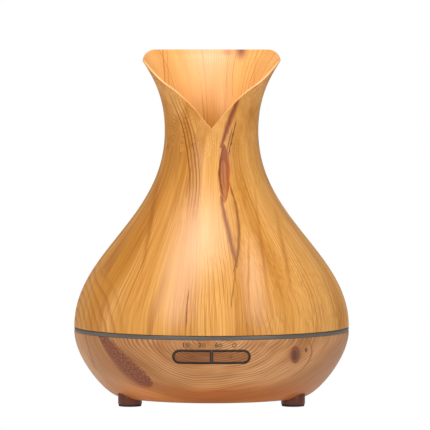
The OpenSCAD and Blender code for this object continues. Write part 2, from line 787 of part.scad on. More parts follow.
module bottom_cover() {
    vent_r = 15;
    vent_at = [-28, 4];
    color(wood_dark) difference() {
        rod([0, 0], bottom_r, underside_z, bottom_top);
        for (a = post_angles) {
            rod(on_circle(post_circle_r, a), post_screw_r + seat_gap, underside_z - cut, bottom_top + cut);
            rod(on_circle(post_circle_r, a), head_r + 0.4, underside_z - cut, underside_z + 1.2);
        }
        intersection() {
            rod(vent_at, vent_r, underside_z - cut, bottom_top + cut);
            for (i = [-3:3]) translate([vent_at[0] + 4 * i, vent_at[1], underside_z])
                cube([2, 2 * vent_r, 3 * bottom_t], center = true);
        }
    }
}
module bottom_screws() {
    color(steel) for (a = post_angles)
        screw(on_circle(post_circle_r, a), post_screw_r - screw_gap, head_r,
              underside_z + 1.2, post_screw_end);
}
module foot_pads() {
    color(rubber) for (a = post_angles)
        rod(on_circle(foot_circle_r, a), foot_r - 0.35, 0, pad_t);
}

wire_z = board_top + 2.6;              // where wires meet the connectors
wire_end = 0.05;                       // gap at each end of a wire
module fan_wires() {
    side = fan_at[0] + fan_side / 2;
    color("#b03028") for (y = [11, 14])
        wire([[side + wire_end, y, fan_z + 3], [side + 3, y, fan_z + 3], [9, y + 2, wire_z],
              [18, y, wire_z], [21 - wire_end, y, wire_z]], 0.6);
}
module transducer_wires() {
    color("#c8b23c") for (y = [-3, 3])
        wire([[0, y, disc_z - wire_end], [0, y, clamp_z - 1.5], [10, 1 + y * 2 / 3, wire_z + 0.3],
              [18, 1 + y / 2, wire_z], [21 - wire_end, 1 + y / 2, wire_z]], 0.5);
}
module jack_wires() {
    start_y = inlet_body_y - inlet_body[1] - 1.2;
    color("#262626") for (x = [-2.5, 2.5])
        wire([[x, start_y - wire_end, inlet_z], [x, start_y - 2.5, inlet_z],
              [x / 2 + 7, 43 + x / 3, wire_z + 1 + x / 3],
              [x / 2 + 15.7, 32.7 + x / 2, wire_z], [19, 26 + x / 2, wire_z],
              [21 - wire_end, 26 + x / 2, wire_z]], 0.7);
}
module led_wires() {
    color("#d8d8d8") for (s = [-1, 1]) {
        start = on_circle(led_mid_r, 32.5 + s);
        top = board_top + connector_h - 1;
        wire([[start[0], start[1], led_z - wire_end], [start[0], start[1], led_z - 3],
              [51 - 0.7 * s, 32 + 0.7 * s, 22], [44 - s, 26 + s, top + 2],
              [44 - s, 26 + s, top + wire_end]], 0.5);
    }
}
module button_wires() {
    back_y = board_y + button_board_t;
    color("#8a8a8a") for (x = [4.5, 6, 7.5])
        wire([[x, back_y + wire_end, panel_z - 3], [x, back_y + 2, panel_z - 3], [x, back_y + 4.5, 23],
              [x + 5, -56, 17.5], [x + 17, -30, wire_z], [x + 19.5, -16, wire_z],
              [x + 19.5, -13 - wire_end, wire_z]], 0.5);
}

vase_cover();
mist_guide();
mist_guide_screws();
lower_housing();
light_ring();
water_tank();
tank_seal();
air_outlet_cap();
transducer_disc();
transducer_seal();
transducer_clamp();
transducer_screws();
fan_frame();
fan_bearing();
fan_stator();
fan_duct();
fan_screws();
fan_rotor();
fan_magnet();
fan_shaft();
main_board();
power_inductor();
filter_capacitors();
driver_transistor();
heatsink();
controller_chips();
board_connectors();
main_board_screws();
led_board();
colour_leds();
led_board_screws();
button_bezel();
button_board();
tact_switches();
indicator_leds();
button_board_screws();
light_button();
light_switch_stem();
mist_button();
mist_switch_stem();
dc_jack();
dc_pin();
dc_contacts();
bottom_cover();
bottom_screws();
foot_pads();
fan_wires();
transducer_wires();
jack_wires();
led_wires();
button_wires();
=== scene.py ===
import bisect
import json
import math

import bmesh
import bpy
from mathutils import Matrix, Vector


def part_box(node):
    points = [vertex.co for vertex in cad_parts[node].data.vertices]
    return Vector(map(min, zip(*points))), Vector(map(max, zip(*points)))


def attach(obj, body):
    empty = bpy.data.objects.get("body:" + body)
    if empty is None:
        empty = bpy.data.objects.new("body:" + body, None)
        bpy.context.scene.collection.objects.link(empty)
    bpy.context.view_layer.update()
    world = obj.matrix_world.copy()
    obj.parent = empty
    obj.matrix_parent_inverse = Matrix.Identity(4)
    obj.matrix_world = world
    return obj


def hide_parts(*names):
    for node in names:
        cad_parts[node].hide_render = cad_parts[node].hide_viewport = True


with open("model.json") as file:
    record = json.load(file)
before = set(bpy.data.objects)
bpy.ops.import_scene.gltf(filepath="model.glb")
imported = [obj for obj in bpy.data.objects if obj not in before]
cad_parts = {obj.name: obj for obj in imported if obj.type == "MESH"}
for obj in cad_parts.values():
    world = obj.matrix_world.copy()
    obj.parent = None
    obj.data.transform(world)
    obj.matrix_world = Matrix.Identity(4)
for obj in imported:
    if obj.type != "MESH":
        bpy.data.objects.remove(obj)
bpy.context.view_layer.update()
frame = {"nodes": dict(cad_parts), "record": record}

mm = 0.001
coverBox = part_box("vase_cover")
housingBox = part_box("lower_housing")
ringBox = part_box("light_ring")
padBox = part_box("foot_pads")
bodyRadius = ringBox[1].x / mm
topZ = coverBox[1].z / mm
seamZ = ringBox[1].z / mm
housingTopZ = housingBox[1].z / mm
print("frame loaded, body radius", round(bodyRadius, 1), "mm, height", round(topZ, 1), "mm")

cameraSet = {"distance": 2.43, "height": 0.222, "sideShift": 0.0021, "aimZ": 0.1145, "lens": 333.0}


def addCamera(s):
    data = bpy.data.cameras.new("camera")
    data.lens = s["lens"]
    data.sensor_width = 36.0
    data.clip_end = 20.0
    camera = bpy.data.objects.new("camera", data)
    bpy.context.scene.collection.objects.link(camera)
    place = Vector((s["sideShift"], -s["distance"], s["height"]))
    aim = Vector((s["sideShift"], 0, s["aimZ"]))
    camera.location = place
    camera.rotation_euler = (aim - place).to_track_quat("-Z", "Y").to_euler()
    bpy.context.scene.camera = camera


lightSet = {
    "key": {"place": (-0.75, -1.35, 0.75), "aim": (0, 0, 0.09), "size": (0.7, 0.9), "power": 13.6},
    "fill": {"place": (0.95, -1.25, 0.55), "aim": (0, 0, 0.08), "size": (0.7, 0.9), "power": 9.0},
    "leftStrip": {"place": (-1.1, 0.1, 0.25), "aim": (0, 0, 0.05), "size": (0.25, 0.9), "power": 1.0},
    "rightStrip": {"place": (1.1, 0.1, 0.25), "aim": (0, 0, 0.05), "size": (0.25, 0.9), "power": 0.4},
    "top": {"place": (0.0, -0.1, 1.3), "aim": (0, 0, 0.1), "size": (0.8, 0.6), "power": 10.0},
}
worldSet = {"light": 0.29, "seen": 1.0}


def addLights(s):
    for name, v in s.items():
        data = bpy.data.lights.new(name, "AREA")
        data.shape = "RECTANGLE"
        data.size, data.size_y = v["size"]
        data.energy = v["power"]
        lamp = bpy.data.objects.new(name, data)
        lamp.location = v["place"]
        lamp.rotation_euler = (Vector(v["aim"]) - Vector(v["place"])).to_track_quat("-Z", "Y").to_euler()
        bpy.context.scene.collection.objects.link(lamp)


def addWorld(s):
    world = bpy.data.worlds.new("studio")
    world.use_nodes = True
    nodes, links = world.node_tree.nodes, world.node_tree.links
    back = nodes["Background"]
    back.inputs["Color"].default_value = (1, 1, 1, 1)
    path = nodes.new("ShaderNodeLightPath")
    level = nodes.new("ShaderNodeMix")
    level.inputs["A"].default_value = s["light"]
    level.inputs["B"].default_value = s["seen"]
    links.new(path.outputs["Is Camera Ray"], level.inputs["Factor"])
    links.new(level.outputs["Result"], back.inputs["Strength"])
    bpy.context.scene.world = world
    bpy.context.scene.view_settings.view_transform = "Standard"


addCamera(cameraSet)
addLights(lightSet)
addWorld(worldSet)
print("camera, lights and world are set")


def feed(tree, socket, value):
    if isinstance(value, bpy.types.NodeSocket):
        tree.links.new(value, socket)
    elif value is not None:
        socket.default_value = value


def calc(tree, operation, a, b=None, c=None):
    node = tree.nodes.new("ShaderNodeMath")
    node.operation = operation
    for socket, value in zip(node.inputs, (a, b, c)):
        feed(tree, socket, value)
    return node.outputs[0]


def spread(tree, value, low, high, toLow=0.0, toHigh=1.0):
    # a smooth step from low to high
    node = tree.nodes.new("ShaderNodeMapRange")
    node.interpolation_type = "SMOOTHSTEP"
    for socket, v in zip(node.inputs, (value, low, high, toLow, toHigh)):
        feed(tree, socket, v)
    return node.outputs[0]


def length(tree, a, b):
    return calc(tree, "SQRT", calc(tree, "ADD", calc(tree, "MULTIPLY", a, a), calc(tree, "MULTIPLY", b, b)))


def combine(tree, x, y, z):
    node = tree.nodes.new("ShaderNodeCombineXYZ")
    for socket, value in zip(node.inputs, (x, y, z)):
        feed(tree, socket, value)
    return node.outputs[0]


def scaled(tree, x, y, z, byX, byY, byZ):
    return combine(tree, calc(tree, "MULTIPLY", x, byX), calc(tree, "MULTIPLY", y, byY),
                   calc(tree, "MULTIPLY", z, byZ))


def noise(tree, vector, scale=1.0, detail=2.0, roughness=0.5):
    node = tree.nodes.new("ShaderNodeTexNoise")
    feed(tree, node.inputs["Vector"], vector)
    node.inputs["Scale"].default_value = scale
    node.inputs["Detail"].default_value = detail
    node.inputs["Roughness"].default_value = roughness
    return node.outputs[0]


def blendColour(tree, factor, a, b, mode="MIX"):
    node = tree.nodes.new("ShaderNodeMix")
    node.data_type = "RGBA"
    node.blend_type = mode
    feed(tree, node.inputs[0], factor)
    feed(tree, node.inputs[6], a)
    feed(tree, node.inputs[7], b)
    return node.outputs[2]


def rgb(red, green, blue):
    # display values from 0 to 255, turned to linear
    parts = [v / 255 for v in (red, green, blue)]
    return tuple(p / 12.92 if p < 0.04045 else ((p + 0.055) / 1.055) ** 2.4 for p in parts) + (1.0,)


def startGroup(name, inputs, outputs):
    tree = bpy.data.node_groups.new(name, "ShaderNodeTree")
    kinds = {"value": "NodeSocketFloat", "colour": "NodeSocketColor"}
    for label, kind, value in inputs:
        socket = tree.interface.new_socket(label, in_out="INPUT", socket_type=kinds[kind])
        if value is not None:
            socket.default_value = value
    for label, kind in outputs:
        tree.interface.new_socket(label, in_out="OUTPUT", socket_type=kinds[kind])
    return tree, tree.nodes.new("NodeGroupInput").outputs, tree.nodes.new("NodeGroupOutput").inputs


def useGroup(tree, group, **values):
    node = tree.nodes.new("ShaderNodeGroup")
    node.node_tree = group
    for label, value in values.items():
        feed(tree, node.inputs[label], value)
    return node.outputs


def makePlaceGroup():
    # millimetres on the body: X, Z, the direction round the axis, and how far a point is on the front
    tree, _, out = startGroup("placeOnBody", [], [
        (label, "value") for label in ("X", "Y", "Z", "TurnX", "TurnY", "Front")])
    where = tree.nodes.new("ShaderNodeTexCoord").outputs["Object"]
    split = tree.nodes.new("ShaderNodeSeparateXYZ")
    tree.links.new(where, split.inputs[0])
    x, y, z = (calc(tree, "MULTIPLY", split.outputs[k], 1000.0) for k in range(3))
    radius = calc(tree, "MAXIMUM", length(tree, x, y), 1.0)
    feed(tree, out["X"], x)
    feed(tree, out["Y"], y)
    feed(tree, out["Z"], z)
    feed(tree, out["TurnX"], calc(tree, "DIVIDE", x, radius))
    feed(tree, out["TurnY"], calc(tree, "DIVIDE", y, radius))
    feed(tree, out["Front"], spread(tree, y, 6.0, -6.0))
    return tree


def startMark(name):
    # how far a point is off a mark's bowed middle line, and its share of the way along
    tree, put, out = startGroup(name, [
        ("Across", "value", 0.0), ("Along", "value", 0.0), ("CentreAcross", "value", 0.0),
        ("CentreAlong", "value", 0.0), ("Lean", "value", 0.0), ("Bow", "value", 0.0),
        ("HalfWidth", "value", 1.0), ("HalfLength", "value", 10.0), ("Softness", "value", 0.5)],
        [("Mask", "value")])
    run = calc(tree, "SUBTRACT", put["Along"], put["CentreAlong"])
    middle = calc(tree, "MULTIPLY_ADD", put["Lean"], run, put["CentreAcross"])
    middle = calc(tree, "MULTIPLY_ADD", put["Bow"], calc(tree, "MULTIPLY", run, run), middle)
    off = calc(tree, "SUBTRACT", put["Across"], middle)
    return tree, put, out, off, calc(tree, "DIVIDE", run, put["HalfLength"])


def makeStreakGroup():
    # one lens-shaped mark: 1 inside, fading to 0 at its edge
    tree, put, out, off, share = startMark("streak")
    room = calc(tree, "MAXIMUM", calc(tree, "SUBTRACT", 1.0, calc(tree, "MULTIPLY", share, share)), 0.0)
    width = calc(tree, "MAXIMUM", calc(tree, "MULTIPLY", put["HalfWidth"], calc(tree, "SQRT", room)), 0.0005)
    deep = calc(tree, "SUBTRACT", 1.0, calc(tree, "DIVIDE", calc(tree, "ABSOLUTE", off), width))
    feed(tree, out["Mask"], spread(tree, deep, 0.0, put["Softness"]))
    return tree


def makeSpotGroup():
    # a mark that fades evenly from its middle
    tree, put, out, off, share = startMark("spot")
    off = calc(tree, "DIVIDE", off, put["HalfWidth"])
    far = length(tree, off, share)
    feed(tree, out["Mask"], spread(tree, far, 1.0, calc(tree, "SUBTRACT", 1.0, put["Softness"])))
    return tree


def makeLinesGroup():
    # a set of thin lines where a field crosses whole numbers
    tree, put, out = startGroup("growthLines", [
        ("Field", "value", 0.0), ("Thin", "value", 0.6), ("Break", "value", 1.0)], [("Mask", "value")])
    part = calc(tree, "FRACT", put["Field"])
    rise = spread(tree, part, put["Thin"], 0.96)
    fall = spread(tree, part, 1.0, 0.96)
    feed(tree, out["Mask"], calc(tree, "MULTIPLY", calc(tree, "MULTIPLY", rise, fall), put["Break"]))
    return tree


def makeFinishGroup():
    # fine texture of a moulded or metal surface: tone, gloss and height
    tree, put, out = startGroup("surfaceFinish", [
        ("Colour", "colour", (0.5, 0.5, 0.5, 1)), ("Grain", "value", 900.0), ("Mottle", "value", 0.08),
        ("Roughness", "value", 0.5)], [("Colour", "colour"), ("Roughness", "value"), ("Height", "value")])
    where = tree.nodes.new("ShaderNodeTexCoord").outputs["Object"]
    close = tree.nodes.new("ShaderNodeVectorMath")
    close.operation = "SCALE"
    tree.links.new(where, close.inputs[0])
    feed(tree, close.inputs["Scale"], put["Grain"])
    fine = noise(tree, close.outputs[0], 1.0, 3.0)
    broad = noise(tree, where, 60.0, 2.0)
    tone = calc(tree, "MULTIPLY", calc(tree, "SUBTRACT", broad, 0.5), put["Mottle"])
    darker = blendColour(tree, 1.0, put["Colour"], (0.55, 0.55, 0.55, 1), "MULTIPLY")
    feed(tree, out["Colour"], blendColour(tree, calc(tree, "ADD", 0.12, tone), put["Colour"], darker))
    feed(tree, out["Roughness"], calc(tree, "MULTIPLY_ADD", calc(tree, "SUBTRACT", fine, 0.5), 0.18,
                                      put["Roughness"]))
    feed(tree, out["Height"], fine)
    return tree


placeGroup = makePlaceGroup()
streakGroup = makeStreakGroup()
spotGroup = makeSpotGroup()
linesGroup = makeLinesGroup()
finishGroup = makeFinishGroup()
print("node groups are built")


def startMaterial(name, roughness=0.5, metallic=0.0, **sockets):
    material = bpy.data.materials.new(name)
    material.use_nodes = True
    shader = material.node_tree.nodes["Principled BSDF"]
    shader.inputs["Roughness"].default_value = roughness
    shader.inputs["Metallic"].default_value = metallic
    for label, value in sockets.items():
        shader.inputs[label.replace("_", " ")].default_value = value
    return material, material.node_tree, shader


def addBump(tree, shader, height, strength, distance):
    bump = tree.nodes.new("ShaderNodeBump")
    bump.inputs["Strength"].default_value = strength
    bump.inputs["Distance"].default_value = distance
    feed(tree, bump.inputs["Height"], height)
    tree.links.new(bump.outputs[0], shader.inputs["Normal"])


finishSet = {
    "milky_plastic": {"colour": (236, 234, 226), "roughness": 0.42, "Transmission_Weight": 0.35},
    "ivory_plastic": {"colour": (232, 226, 212), "roughness": 0.4},
    "smoked_plastic": {"colour": (92, 86, 80), "roughness": 0.36, "Transmission_Weight": 0.12},
    "charcoal_plastic": {"colour": (58, 46, 40), "roughness": 0.5},
    "black_rubber": {"colour": (32, 29, 27), "roughness": 0.8, "grain": 1500.0},
    "silicone": {"colour": (212, 206, 196), "roughness": 0.6},
    "piezo_ceramic": {"colour": (206, 200, 182), "roughness": 0.3, "metallic": 0.5},
    "steel": {"colour": (190, 192, 196), "roughness": 0.3, "metallic": 1.0},
    "brass": {"colour": (196, 166, 96), "roughness": 0.32, "metallic": 1.0},
    "winding_copper": {"colour": (150, 92, 54), "roughness": 0.35, "metallic": 0.6},
    "magnet": {"colour": (84, 80, 78), "roughness": 0.6},
    "circuit_board": {"colour": (38, 96, 60), "roughness": 0.35},
    "black_moulding": {"colour": (30, 30, 31), "roughness": 0.5},
    "capacitor_sleeve": {"colour": (44, 62, 92), "roughness": 0.3},
    "aluminium": {"colour": (176, 180, 186), "roughness": 0.4, "metallic": 1.0},
    "led_package": {"colour": (246, 242, 226), "roughness": 0.25},
    "wire_insulation": {"colour": (140, 40, 34), "roughness": 0.45},
}


def makeFinish(name, s):
    rest = {k: v for k, v in s.items() if k[0].isupper()}
    material, tree, shader = startMaterial(name, s["roughness"], s.get("metallic", 0.0), **rest)
    made = useGroup(tree, finishGroup, Colour=rgb(*s["colour"]), Grain=s.get("grain", 900.0),
                    Roughness=s["roughness"])
    tree.links.new(made["Colour"], shader.inputs["Base Color"])
    tree.links.new(made["Roughness"], shader.inputs["Roughness"])
    addBump(tree, shader, made["Height"], 0.25, 0.0001)
    return material


finishes = {name: makeFinish(name, s) for name, s in finishSet.items()}

# marks on the front of the vase, seen from the front: place (x, height), half width and length, lean, bow
vaseMarks = {
    # painted highlights: the three broad pale patches that follow lighten the belly where soft highlights fall
    "paintedHighlight": {"at": (-8.0, 104), "half": (26, 44), "lean": 0.12, "colour": (255, 206, 164),
                  "strength": 0.42, "soft": 1.0},
    "paintedHighlightLow": {"at": (-20.0, 76), "half": (18, 34), "lean": 0.12, "colour": (255, 202, 160),
                "strength": 0.32, "soft": 1.0},
    "paintedHighlightRight": {"at": (25.0, 78), "half": (12, 36), "lean": -0.1, "colour": (255, 202, 154),
                  "strength": 0.4, "soft": 1.0},
    "lapelStreak": {"at": (11.4, 173), "half": (2.8, 17), "lean": 0.36, "colour": (140, 64, 28),
                    "strength": 0.92, "soft": 0.9},
    "lapelCore": {"at": (10.4, 171), "half": (1.1, 14), "lean": 0.36, "colour": (110, 46, 22),
                  "strength": 0.5, "soft": 0.9},
    "lens": {"at": (7.4, 141), "half": (4.0, 17.5), "colour": (138, 66, 26), "strength": 0.94, "soft": 0.4},
    "lensHeart": {"at": (7.2, 136), "half": (2.9, 13), "lean": -0.03, "colour": (184, 118, 66),
                  "strength": 0.75, "soft": 0.8},
    "lensCore": {"at": (6.8, 141), "half": (0.9, 10), "lean": -0.03, "colour": (126, 62, 30),
                 "strength": 0.6, "soft": 0.9},
    "lensEdge": {"at": (10.4, 143), "half": (0.75, 15), "lean": -0.03, "bow": -0.008,
                 "colour": (176, 78, 20), "strength": 0.85, "soft": 0.7},
    "lensLeft": {"at": (4.6, 142), "half": (0.8, 15), "bow": 0.012, "colour": (112, 46, 22),
                 "strength": 0.85, "soft": 0.7},
    "lensTail": {"at": (10.0, 107), "half": (2.6, 21), "lean": -0.24, "colour": (132, 72, 42),
                 "strength": 0.85, "soft": 0.95},
    "olive": {"at": (16.4, 109), "half": (1.5, 27), "lean": -0.04, "bow": -0.0072, "colour": (126, 72, 10),
              "strength": 0.85, "soft": 0.95},
    "oliveTail": {"at": (13.2, 77), "half": (0.9, 15), "lean": 0.13, "colour": (150, 92, 30),
                  "strength": 0.8, "soft": 0.9},
    "dashA": {"at": (12.6, 162), "half": (0.55, 11), "lean": 0.24, "colour": (92, 40, 18), "strength": 0.95,
              "soft": 0.7},
    "dashB": {"at": (10.4, 159), "half": (0.4, 9), "lean": 0.24, "colour": (112, 52, 24), "strength": 0.85,
              "soft": 0.7},
    "leftBand": {"at": (-37.0, 110), "half": (2.2, 42), "lean": 0.17, "colour": (158, 88, 24),
                 "strength": 0.75, "soft": 1.0},
    "leftWide": {"at": (-31.5, 112), "half": (4.0, 52), "lean": 0.16, "colour": (196, 130, 56),
                 "strength": 0.4, "soft": 1.0},
    "rightBand": {"at": (30.0, 98), "half": (1.8, 46), "lean": -0.12, "colour": (168, 100, 30),
                  "strength": 0.7, "soft": 1.0},
    "rightOuter": {"at": (44.0, 92), "half": (2.2, 40), "lean": -0.2, "colour": (168, 100, 30),
                   "strength": 0.65, "soft": 1.0},
    "rightInner": {"at": (22.0, 84), "half": (1.1, 34), "bow": 0.0012, "colour": (172, 102, 34),
                   "strength": 0.7, "soft": 1.0},
    "neckGold": {"at": (-21.5, 150), "half": (2.6, 46), "colour": (170, 108, 34), "strength": 0.45,
                 "soft": 1.0},
    "lowDash": {"at": (-14.5, 62), "half": (0.7, 12), "lean": 0.08, "colour": (128, 56, 16), "strength": 0.9,
                "soft": 0.9},
    "lowDashB": {"at": (-12.4, 66), "half": (0.4, 9), "lean": 0.04, "colour": (160, 84, 34), "strength": 0.6,
                 "soft": 0.9},
    "lowDashC": {"at": (-10.6, 57), "half": (0.4, 8), "colour": (160, 90, 40), "strength": 0.5, "soft": 0.9},
}
backMarks = {
    # painted highlight: a broad pale patch in the middle of the inner back wall
    "paintedInsideHighlight": {"at": (-2.0, 210), "half": (24, 36), "colour": (255, 206, 174), "strength": 0.3,
                   "soft": 1.0},
    "backKnot": {"at": (18.5, 215), "half": (6.0, 9), "lean": 0.1, "colour": (128, 66, 58), "strength": 0.85,
                 "soft": 1.0},
    "backShade": {"at": (10.0, 214), "half": (5.0, 4), "colour": (176, 108, 84), "strength": 0.6,
                  "soft": 1.0},
    "backLineA": {"at": (13.0, 201), "half": (0.45, 16), "lean": 0.1, "bow": 0.008, "colour": (176, 104, 66),
                  "strength": 0.6, "soft": 0.9},
    "backLineB": {"at": (9.5, 202), "half": (0.4, 17), "lean": 0.06, "bow": 0.006, "colour": (186, 116, 76),
                  "strength": 0.5, "soft": 0.9},
    "orangeA": {"at": (-29.5, 205), "half": (0.7, 26), "lean": -0.08, "colour": (196, 104, 28),
                "strength": 0.75, "soft": 0.9},
    "orangeB": {"at": (-27.0, 203), "half": (0.5, 24), "lean": -0.06, "colour": (204, 116, 40),
                "strength": 0.65, "soft": 0.9},
    "backRight": {"at": (27.0, 205), "half": (0.6, 20), "lean": 0.1, "colour": (206, 128, 56),
                  "strength": 0.5, "soft": 0.9},
}
archSet = {"turn": -0.17, "halfTurn": 0.62, "lowZ": 44.0, "halfHigh": 44.0, "lines": 9.0,
           "colour": (146, 82, 24)}
flareSet = {"startZ": 152.0, "rate": 0.0006}   # the print spreads where the lapels flare
# painted light: a warm colour that lightens the back of the mouth, and the strength of a painted glow on the
# inner wall from its top to lower down
paintedGlowSet = {"warm": (248, 182, 108), "highZ": 208.0, "lowZ": 168.0, "high": 0.03, "low": 0.27}
vaseTones = {"dark": (184, 120, 34), "mid": (210, 148, 66), "light": (224, 166, 90), "line": (138, 76, 20)}
bowlTones = {"dark": (162, 106, 54), "mid": (184, 130, 78), "light": (204, 152, 100), "line": (112, 62, 26)}


def addMarks(tree, base, marks, across, along, side):
    for s in marks.values():
        group = spotGroup if s["soft"] == 1.0 else streakGroup   # fully soft marks fade from their middle
        found = useGroup(tree, group, Across=across, Along=along, CentreAcross=s["at"][0],
                         CentreAlong=float(s["at"][1]), HalfWidth=s["half"][0], HalfLength=float(s["half"][1]),
                         Lean=s.get("lean", 0.0), Bow=s.get("bow", 0.0), Softness=s["soft"])["Mask"]
        amount = calc(tree, "MULTIPLY", calc(tree, "MULTIPLY", found, s["strength"]), side)
        base = blendColour(tree, amount, base, rgb(*s["colour"]))
    return base


# thin lines that leave the left lapel together, then open out down the belly
lapelLineSet = {"lines": 4, "first": (-14.2, 152.0), "last": (-7.9, 150.0), "half": (0.6, 37.0),
                "lean": (-0.141, -0.12),
                "bow": -0.0046, "colour": (118, 54, 18), "strength": 0.85}
bellyLineSet = {"lines": 5, "first": (-16.8, 86.0), "last": (-9.0, 90.0), "half": (0.6, 42.0),
                "lean": (0.09, 0.02),
                "bow": 0.0, "colour": (160, 88, 38), "strength": 0.5}


def lapelLines(s):
    marks = {}
    for i in range(s["lines"]):
        t = i / (s["lines"] - 1)
        marks[i] = {"at": [a + (b - a) * t for a, b in zip(s["first"], s["last"])], "half": s["half"],
                    "bow": s["bow"],
                    "lean": s["lean"][0] + (s["lean"][1] - s["lean"][0]) * t, "colour": s["colour"],
                    "strength": s["strength"] * (0.7 if i % 2 else 1.0), "soft": 0.8}
    return marks


def woodLayers(tree, tones, broadAt, streakAt, fibreAt):
    # broad tones, soft streaks and fibres, each on its own stretched coordinates
    broad = spread(tree, noise(tree, broadAt, 1.0, 2.0), 0.35, 0.68)
    streaks = spread(tree, noise(tree, streakAt, 1.0, 3.0, 0.6), 0.32, 0.7)
    fibres = noise(tree, fibreAt, 1.0, 2.0, 0.6)
    tone = blendColour(tree, broad, rgb(*tones["dark"]), rgb(*tones["light"]))
    tone = blendColour(tree, calc(tree, "MULTIPLY", streaks, 0.55), tone, rgb(*tones["mid"]))
    shade = blendColour(tree, spread(tree, fibres, 0.3, 0.62), rgb(226, 214, 200), (1, 1, 1, 1))
    return blendColour(tree, 1.0, tone, shade, "MULTIPLY"), fibres


def finishWood(tree, shader, colour, fibres, sheen):
    feed(tree, shader.inputs["Base Color"], colour)
    feed(tree, shader.inputs["Roughness"], calc(tree, "MULTIPLY_ADD", fibres, 0.12, sheen))
    addBump(tree, shader, fibres, 0.12, 0.0001)


def addLines(tree, colour, field, thin, where, tone, strength):
    lines = useGroup(tree, linesGroup, Field=field, Thin=thin, Break=where)["Mask"]
    return blendColour(tree, calc(tree, "MULTIPLY", lines, strength), colour, rgb(*tone))


def makeVaseWood():
    material, tree, shader = startMaterial("vaseWoodPrint", Specular_IOR_Level=0.3)
    at = useGroup(tree, placeGroup)
    x, z, front = at["X"], at["Z"], at["Front"]
    back = calc(tree, "SUBTRACT", 1.0, front)
    over = calc(tree, "MULTIPLY", calc(tree, "MAXIMUM", calc(tree, "SUBTRACT", z, flareSet["startZ"]), 0.0),
                front)
    flare = calc(tree, "MULTIPLY_ADD", calc(tree, "MULTIPLY", over, over), flareSet["rate"], 1.0)
    flare = calc(tree, "DIVIDE", 1.0, flare)
    drift = noise(tree, combine(tree, at["TurnX"], at["TurnY"], calc(tree, "MULTIPLY", z, 0.011)), 1.3, 1.0)
    drift = calc(tree, "MULTIPLY", calc(tree, "SUBTRACT", drift, 0.5), 0.2)
    turnX = calc(tree, "MULTIPLY", calc(tree, "ADD", at["TurnX"], drift), flare)
    turnY = calc(tree, "MULTIPLY", calc(tree, "SUBTRACT", at["TurnY"], drift), flare)

    def stretched(around, along):
        return scaled(tree, turnX, turnY, z, around, around, along)

    colour, fibres = woodLayers(tree, vaseTones, stretched(3.4, 0.004), stretched(15.0, 0.006),
                                stretched(120.0, 0.012))
    # painted light: the back of the vase above the neck, inside and out, is blended towards a warm light
    # colour so the inner wall seen through the mouth looks lit
    inside = calc(tree, "MULTIPLY", back, spread(tree, z, 150.0, 200.0))
    colour = blendColour(tree, calc(tree, "MULTIPLY", inside, 0.6), colour, rgb(*paintedGlowSet["warm"]))
    come = spread(tree, noise(tree, stretched(5.0, 0.01), 1.0, 1.0), 0.36, 0.6)
    field = calc(tree, "MULTIPLY_ADD", noise(tree, stretched(2.4, 0.0025), 1.0, 1.0), 13.0,
                 calc(tree, "MULTIPLY_ADD", turnX, 24.0, calc(tree, "MULTIPLY", turnY, 9.0)))
    # nested arches low on the left side, which push the upright lines away
    bend = noise(tree, stretched(1.6, 0.03), 1.0, 1.0)
    archX = calc(tree, "DIVIDE", calc(tree, "SUBTRACT", at["TurnY"], archSet["turn"]), archSet["halfTurn"])
    archZ = calc(tree, "DIVIDE", calc(tree, "SUBTRACT", z, archSet["lowZ"]), archSet["halfHigh"])
    arch = calc(tree, "MULTIPLY_ADD", calc(tree, "SUBTRACT", bend, 0.5), 0.3, length(tree, archX, archZ))
    nearArch = calc(tree, "MULTIPLY", spread(tree, arch, 1.1, 0.85), spread(tree, at["TurnX"], -0.2, -0.4))
    come = calc(tree, "MULTIPLY", come, calc(tree, "SUBTRACT", 1.0, nearArch))
    colour = addLines(tree, colour, field, 0.6, come, vaseTones["line"], 0.55)
    colour = addLines(tree, colour, calc(tree, "MULTIPLY", arch, archSet["lines"]), 0.42, nearArch,
                      archSet["colour"], 0.5)
    wave = noise(tree, combine(tree, calc(tree, "MULTIPLY", x, 0.05), 0.0, calc(tree, "MULTIPLY", z, 0.05)),
                 1.0, 1.0)
    wave = calc(tree, "MULTIPLY", calc(tree, "SUBTRACT", wave, 0.5), 1.6)
    wavyX = calc(tree, "ADD", x, wave)
    rough = noise(tree, combine(tree, calc(tree, "MULTIPLY", x, 0.9), 0.0, calc(tree, "MULTIPLY", z, 0.16)),
                  1.0, 2.0)
    roughX = calc(tree, "MULTIPLY_ADD", calc(tree, "SUBTRACT", rough, 0.5), 1.5, wavyX)
    colour = addMarks(tree, colour, lapelLines(lapelLineSet), wavyX, z, front)
    colour = addMarks(tree, colour, lapelLines(bellyLineSet), wavyX, z, front)
    colour = addMarks(tree, colour, vaseMarks, roughX, z, front)
    colour = addMarks(tree, colour, backMarks, wavyX, z, back)
    finishWood(tree, shader, colour, fibres, 0.34)
    # painted glow: the inner wall of the mouth gives off light in its own colour, strongest low down, in place
    # of light carried round the thin wall
    found = tree.nodes.new("ShaderNodeTexCoord")
    facing = tree.nodes.new("ShaderNodeVectorMath")
    facing.operation = "DOT_PRODUCT"
    feed(tree, facing.inputs[0], found.outputs["Normal"])
    feed(tree, facing.inputs[1], combine(tree, x, at["Y"], 0.0))
    inner = calc(tree, "LESS_THAN", facing.outputs["Value"], 0.0)
    paintedGlow = spread(tree, z, paintedGlowSet["highZ"], paintedGlowSet["lowZ"], paintedGlowSet["high"], paintedGlowSet["low"])
    paintedGlow = calc(tree, "MULTIPLY", inner, paintedGlow)
    feed(tree, shader.inputs["Emission Color"], blendColour(tree, paintedGlow, (0, 0, 0, 1), colour))
    shader.inputs["Emission Strength"].default_value = 1.0
    return material


